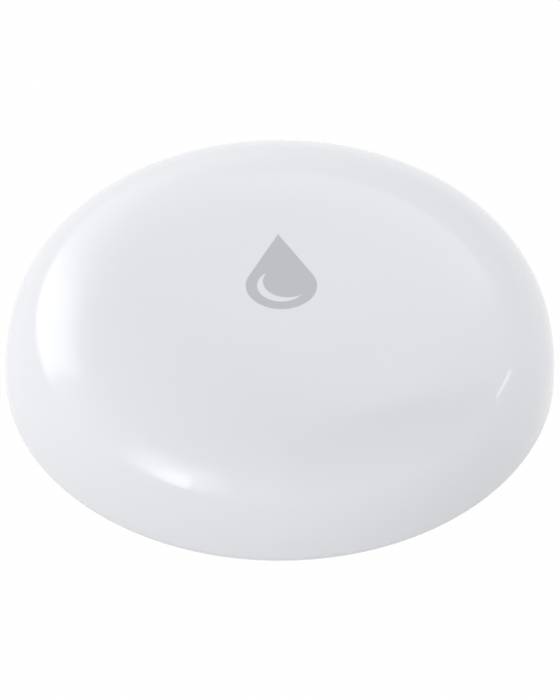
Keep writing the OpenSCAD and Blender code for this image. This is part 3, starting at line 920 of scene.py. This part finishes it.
# a CAD solid that keeps its shape takes a finish of its own
def dress(node, material):
    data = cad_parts[node].data
    data.materials.clear()
    data.materials.append(material)


dress("battery_gasket", finish("gasketDark", (0.045, 0.045, 0.048), tone=0.1, gloss=0.45, bump=0.15))
dress("battery_stack", finish("cellPowder", (0.06, 0.06, 0.06), tone=0.4, gloss=0.9,
                              grain=(6000, 6000, 6000), bump=0.5))

clip = {"thick": 0.3, "wide": 8.0, "leg": 10.3, "foot": 11.75, "bend": 0.4, "turn": 45.0}
contact = {"thick": 0.2, "wide": 4.0, "half": 4.5, "rootEnd": -1.5, "tipStart": 3.0, "bend": 2.0,
           "slitStart": -0.5, "slitHalf": 0.2, "slitEdge": 0.1}


# the heights of a strip's middle, lowest and highest
def stripLevels(node, thick):
    low, high = nodeBox(node)
    return low[2] + thick / 2, high[2] - thick / 2


def makeClip(thick, wide, leg, foot, bend, turn):
    low, high = stripLevels("battery_clip", thick)
    corners = [(-foot, high), (-leg, high), (-leg, low), (leg, low), (leg, high), (foot, high)]
    bm = bmesh.new()
    addStrip(bm, bendPath(corners, bend), thick, wide, turn)
    look = finish("clipTin", (0.6, 0.6, 0.59), metalLook, gloss=0.28, grain=(700, 9000, 9000))
    place(solid("cellClip", bm), look, ["battery_clip"])


def makeContact(thick, wide, half, rootEnd, tipStart, bend, slitStart, slitHalf, slitEdge):
    low, high = stripLevels("battery_contact", thick)
    corners = [(-half, high), (rootEnd, high), (tipStart, low), (half, low)]
    bm = bmesh.new()
    addStrip(bm, bendPath(corners, bend), thick, wide)
    leaf = solid("cellContact", bm)
    first, last = (slitStart, -slitHalf, low - past), (half + past, slitHalf, high + past)
    carve(leaf, blockPiece("tool", first, last, slitEdge))
    look = finish("contactBronze", (0.62, 0.52, 0.38), metalLook, gloss=0.26, grain=(700, 9000, 9000))
    place(leaf, look, ["battery_contact"])


makeClip(**clip)
makeContact(**contact)
print("cell, clip and contact made")


# the press switch under the drop
switchCase = {"edge": 0.12, "well": 2.23, "wellFloor": 10.15, "hole": 1.83, "segments": 48}
studs = {"radius": 0.42, "tall": 0.12, "edge": 0.1, "at": 2.35, "sunk": 0.02, "edgeSteps": 4, "segments": 24}
plunger = {"stem": 1.75, "stemEdge": 0.25, "collarHigh": 0.4, "edge": 0.05, "segments": 48}
snap = {"thick": 0.08, "keep": 0.545, "steps": 12, "segments": 64}
pins = {"wide": 0.7, "thick": 0.2, "bend": 0.2}


def makeSwitchCase(edge, well, wellFloor, hole, segments):
    low, high = nodeBox("switch_body")
    case = blockPiece("switchCase", low, high, edge)
    carve(case, turnedPiece("tool", peg(well, wellFloor, high[2] + past), segments))
    place(case, blackResin, ["switch_body"])
    low, high = nodeBox("switch_cover")
    plate = blockPiece("switchPlate", low, high, edge)
    carve(plate, turnedPiece("tool", peg(hole, low[2] - past, high[2] + past), segments))
    place(plate, tinned, ["switch_cover"])


def makeStuds(radius, tall, edge, at, sunk, edgeSteps, segments):
    level = nodeBox("switch_cover")[1][2]
    foot, top = level - sunk, level + tall
    outline = [(0, foot), (radius, foot),
               *roundEdge(radius - edge, top - edge, edge, 0, 90, edgeSteps), (0, top)]
    bm = bmesh.new()
    addLathe(bm, outline, segments, (-at, -at), (-at, at), (at, -at), (at, at))
    place(solid("switchStuds", bm), blackResin, ())


def makePlunger(stem, stemEdge, collarHigh, edge, segments):
    low, high = nodeBox("switch_plunger")
    r, foot, top, collar = high[0], low[2], high[2], low[2] + collarHigh
    outline = [(0, foot), (r - edge, foot), (r, foot + edge), (r, collar), (stem, collar),
               *roundEdge(stem - stemEdge, top - stemEdge, stemEdge, 0, 90), (0, top)]
    look = finish("plungerWhite", (0.76, 0.76, 0.73), tone=0.03, gloss=0.35, bump=0.1)
    piece = turnedPiece("switchPlunger", outline, segments)
    place(piece, look, ["switch_plunger"], body="plunger")


# the snap disc, built domed as at rest; on the real switch it flattens as the plunger comes down
def makeSnap(thick, keep, steps, segments):
    low, high = nodeBox("switch_dome")
    r, rise = high[0], high[2] - low[2] - thick
    outer = [(r * i / steps, high[2] - rise * (i / steps) ** 2) for i in range(steps + 1)]
    inner = [(a, z - thick) for a, z in reversed(outer)]
    disc = turnedPiece("switchSnap", outer + inner, segments)
    place(disc, tinned, ["switch_dome"])
    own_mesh(disc)


def makePins(wide, thick, bend):
    low, high = nodeBox("switch_pins")
    face, level = nodeBox("switch_body")[1][1] + thick / 2, low[2] + thick / 2
    path = bendPath([(face, high[2]), (face, level), (high[1], level)], bend)
    bm = bmesh.new()
    for turn in (90, 270):
        for side in (-1, 1):
            addStrip(bm, path, thick, wide, turn, side * (high[0] - wide / 2))
    place(solid("switchPins", bm), tinned, ["switch_pins"])


makeSwitchCase(**switchCase)
makeStuds(**studs)
makePlunger(**plunger)
makeSnap(**snap)
makePins(**pins)
print("switch made")


# the small parts on the board: bodies between tinned ends
rowPart = {"fromEnd": 0.28, "lift": 0.02, "edge": 0.05, "end": 0.32, "endEdge": 0.07}


def makeRow(node, look, slot, inset, fromEnd, lift, edge, end, endEdge):
    bodies, ends = bmesh.new(), bmesh.new()
    for low, high in rows[node]:
        addBlock(bodies, *drawnIn(low, high, fromEnd, inset, lift, inset), edge)
        for x0, x1 in endSpans(low[0], high[0], end):
            addBlock(ends, (x0, low[1], low[2]), (x1, high[1], high[2]), endEdge, 3)
    place(solid(node + "Bodies", bodies), look, [node])
    place(solid(node + "Ends", ends), tinned, ())


capacitorTan = finish("capacitorTan", (0.36, 0.24, 0.14), tone=0.15, gloss=0.45, bump=0.2)
makeRow("capacitors", capacitorTan, "capacitor", inset=0.02, **rowPart)
resistorBlack = finish("resistorBlack", (0.02, 0.02, 0.022), tone=0.1, gloss=0.32)
makeRow("resistors", resistorBlack, "resistor", inset=0.03, **rowPart)

# the radio chip: moulded resin on rows of side pads, with a pressed dot at its first corner
radio = {"inset": 0.03, "edge": 0.06, "dot": 0.3, "dotDeep": 0.05, "dotAt": 0.8, "dotSegments": 32}
radioPads = {"count": 10, "first": 0.75, "step": 0.5, "half": 0.13, "long": 0.3, "tall": 0.2, "edge": 0.02}


def makeRadio(inset, edge, dot, dotDeep, dotAt, dotSegments):
    low, high = radioBox
    chip = blockPiece("radioChip", *drawnIn(low, high, inset, inset, inset), edge)
    dotOutline = peg(dot, high[2] - dotDeep, high[2] + past)
    carve(chip, turnedPiece("tool", dotOutline, dotSegments, low[0] + dotAt, low[1] + dotAt))
    place(chip, blackResin, ["radio_chip"])


def makeRadioPads(count, first, step, half, long, tall, edge):
    low, high = radioBox
    foot, top = low[2], low[2] + tall
    bm = bmesh.new()
    for i in range(count):
        x, y = low[0] + first + step * i, low[1] + first + step * i
        for x0, x1 in endSpans(low[0], high[0], long):
            addBlock(bm, (x0, y - half, foot), (x1, y + half, top), edge, 1)
        for y0, y1 in endSpans(low[1], high[1], long):
            addBlock(bm, (x - half, y0, foot), (x + half, y1, top), edge, 1)
    place(solid("radioPads", bm), tinned, ())


# the crystal: a pale ceramic tray under a plated lid
crystal = {"trayDown": 0.25, "trayEdge": 0.05, "lidDown": 0.26, "lidInset": 0.15, "lidEdge": 0.08}


def makeCrystal(trayDown, trayEdge, lidDown, lidInset, lidEdge):
    low, high = crystalBox
    tray = blockPiece("crystalTray", low, (high[0], high[1], high[2] - trayDown), trayEdge)
    ceramic = finish("trayCeramic", (0.5, 0.46, 0.4), tone=0.08, gloss=0.6)
    place(tray, ceramic, ())
    first = low[0] + lidInset, low[1] + lidInset, high[2] - lidDown
    lid = blockPiece("crystalLid", first, (high[0] - lidInset, high[1] - lidInset, high[2]), lidEdge, 3)
    plated = finish("crystalLid", (0.7, 0.66, 0.52), metalLook, gloss=0.3)
    place(lid, plated, ["crystal"])


# the lamp: clear resin over plated ends
lamp = {"insetX": 0.25, "insetY": 0.03, "lift": 0.2, "edge": 0.1, "end": 0.35, "endHigh": 0.22,
        "endEdge": 0.04}


def makeLamp(insetX, insetY, lift, edge, end, endHigh, endEdge):
    low, high = lampBox
    resin = blockPiece("lampResin", *drawnIn(low, high, insetX, insetY, lift), edge, 3)
    clear = finish("lampClear", (0.75, 0.82, 0.88), tone=0.04, gloss=0.12,
                   surface={"IOR": 1.5, "Transmission Weight": 0.5})
    place(resin, clear, ["indicator_led"])
    bm = bmesh.new()
    for x0, x1 in endSpans(low[0], high[0], end):
        addBlock(bm, (x0, low[1], low[2]), (x1, high[1], low[2] + endHigh), endEdge)
    place(solid("lampEnds", bm), tinned, ())


makeRadio(**radio)
makeRadioPads(**radioPads)
makeCrystal(**crystal)
makeLamp(**lamp)
print("board parts made")


# a pale floor that shows as white, with the object's shadow in it; from below it is clear
stage = {"size": 6.0, "steps": 8, "color": (0.64, 0.64, 0.64, 1), "roughness": 0.9, "whiteShare": 0.99}


def makeFloor(size, steps, color, roughness, whiteShare):
    bm = bmesh.new()
    bmesh.ops.create_grid(bm, x_segments=steps, y_segments=steps, size=size / 2)
    floor = solid("floor", bm)
    mat, tree, paint = newMaterial("paleFloor")
    feed(tree, paint, {"Base Color": color, "Roughness": roughness, "Specular IOR Level": 0.0})
    white = addNode(tree, "ShaderNodeEmission", {"Color": (1, 1, 1, 1), "Strength": 1.0})
    path = addNode(tree, "ShaderNodeLightPath").outputs
    direct = calc(tree, "MAXIMUM", path["Is Camera Ray"], path["Is Glossy Ray"])
    seen = calc(tree, "MAXIMUM", direct, path["Is Transmission Ray"])
    share = calc(tree, "MULTIPLY", seen, whiteShare)
    above = addNode(tree, "ShaderNodeMixShader", {"Fac": share, 1: paint.outputs[0], 2: white.outputs[0]})
    clear = addNode(tree, "ShaderNodeBsdfTransparent")
    under = addNode(tree, "ShaderNodeNewGeometry").outputs["Backfacing"]
    both = addNode(tree, "ShaderNodeMixShader", {"Fac": under, 1: above.outputs[0], 2: clear.outputs[0]})
    feed(tree, tree.nodes["Material Output"], {"Surface": both.outputs[0]})
    floor.data.materials.append(mat)


makeFloor(**stage)

# the room: bright low down and towards the camera, with soft boxes and one dark flag that the gloss mirrors.
# az is degrees from the camera's side towards +X; a box starts, is full, begins to fall and ends
# at its four angles across from az and its four angles above the floor
room = {"level": 1.12, "lean": (0.13, -0.22, -0.62), "least": 0.02}
softBoxes = {
    "window": {"az": -130, "across": (-32, -8, 14, 26), "above": (2, 9, 28, 43), "level": 1.6},
    "windowGlow": {"az": -140, "across": (-60, -15, 20, 60), "above": (-4, 12, 20, 45), "level": 0.7},
    "lowPanel": {"az": -45, "across": (-27, -9, 9, 27), "above": (0, 8, 18, 38), "level": 1.5},
    "lowLamp": {"az": -47, "across": (-11, 4, 9, 11), "above": (0, 3, 12, 22), "level": 2.1},
    "rightWall": {"az": 135, "across": (-58, -6, 6, 58), "above": (5, 35, 56, 88), "level": 0.7},
    "backPanel": {"az": 146, "across": (-16, 6, 28, 46), "above": (25, 27, 27, 54), "level": 0.45},
    "slit": {"az": 102, "across": (-8, -5, 4, 8), "above": (8, 10, 11, 13), "level": 2.2},
    "flag": {"az": 48, "across": (-52, -46, 40, 55), "above": (3, 9, 66, 80), "level": -0.27},
}


# rises to 1 and falls back to 0 between four angles
def hump(tree, angle, spots):
    rise = fade(tree, angle, spots[0], spots[1], 0.0, 1.0)
    fall = fade(tree, angle, spots[2], spots[3], 1.0, 0.0)
    return calc(tree, "MULTIPLY", rise, fall)


def makeRoom(level, lean, least):
    world = bpy.data.worlds.new("studio")
    world.use_nodes = True
    tree = world.node_tree
    way = addNode(tree, "ShaderNodeTexCoord").outputs["Generated"]
    height = addNode(tree, "ShaderNodeSeparateXYZ", {0: way}).outputs["Z"]
    height = calc(tree, "DEGREES", calc(tree, "ARCSINE", height))
    leaning = addNode(tree, "ShaderNodeVectorMath", {0: way, 1: lean}, operation="DOT_PRODUCT")
    total = calc(tree, "ADD", leaning.outputs["Value"], level)
    for box in softBoxes.values():
        turn = {"Vector": way, "Angle": -radians(box["az"])}
        turned = addNode(tree, "ShaderNodeVectorRotate", turn, rotation_type="Z_AXIS").outputs[0]
        flat = addNode(tree, "ShaderNodeSeparateXYZ", {0: turned}).outputs
        aside = calc(tree, "ARCTAN2", flat["X"], calc(tree, "MULTIPLY", flat["Y"], -1.0))
        aside = calc(tree, "DEGREES", aside)
        shape = calc(tree, "MULTIPLY", hump(tree, aside, box["across"]), hump(tree, height, box["above"]))
        total = calc(tree, "MULTIPLY_ADD", shape, box["level"], total)
    total = calc(tree, "MAXIMUM", total, least)
    feed(tree, tree.nodes["Background"], {"Color": (1, 1, 1, 1), "Strength": total})
    bpy.context.scene.world = world


makeRoom(**room)

# the photograph's camera: angles in degrees, distances in m, the picture's scale and rows in its pixels
photoView = {"azimuth": -2.4, "elevation": 41.4, "distance": 0.7, "target": (0, 0, 0.0075), "sensor": 36.0,
             "pixelsPerMm": 11.022, "targetRow": 326.9, "pictureRows": 700, "clip": (0.01, 20.0)}


def makeCamera(azimuth, elevation, distance, target, sensor, pixelsPerMm, targetRow, pictureRows, clip):
    a, e = radians(azimuth), radians(elevation)
    back = Vector((sin(a) * cos(e), -cos(a) * cos(e), sin(e)))
    up = back.cross(Vector((cos(a), sin(a), 0.0)))
    lift = (pictureRows / 2 - targetRow) / pixelsPerMm * mm
    data = bpy.data.cameras.new("photoView")
    data.sensor_width = sensor
    data.lens = pixelsPerMm * distance / mm * sensor / pictureRows
    data.clip_start, data.clip_end = clip
    camera = makeObject("photoView", data)
    camera.location = Vector(target) - up * lift + back * distance
    camera.rotation_euler = back.to_track_quat("Z", "Y").to_euler()
    bpy.context.scene.camera = camera


makeCamera(**photoView)
bpy.context.scene.view_settings.view_transform = "Standard"
print("floor, room and camera made")
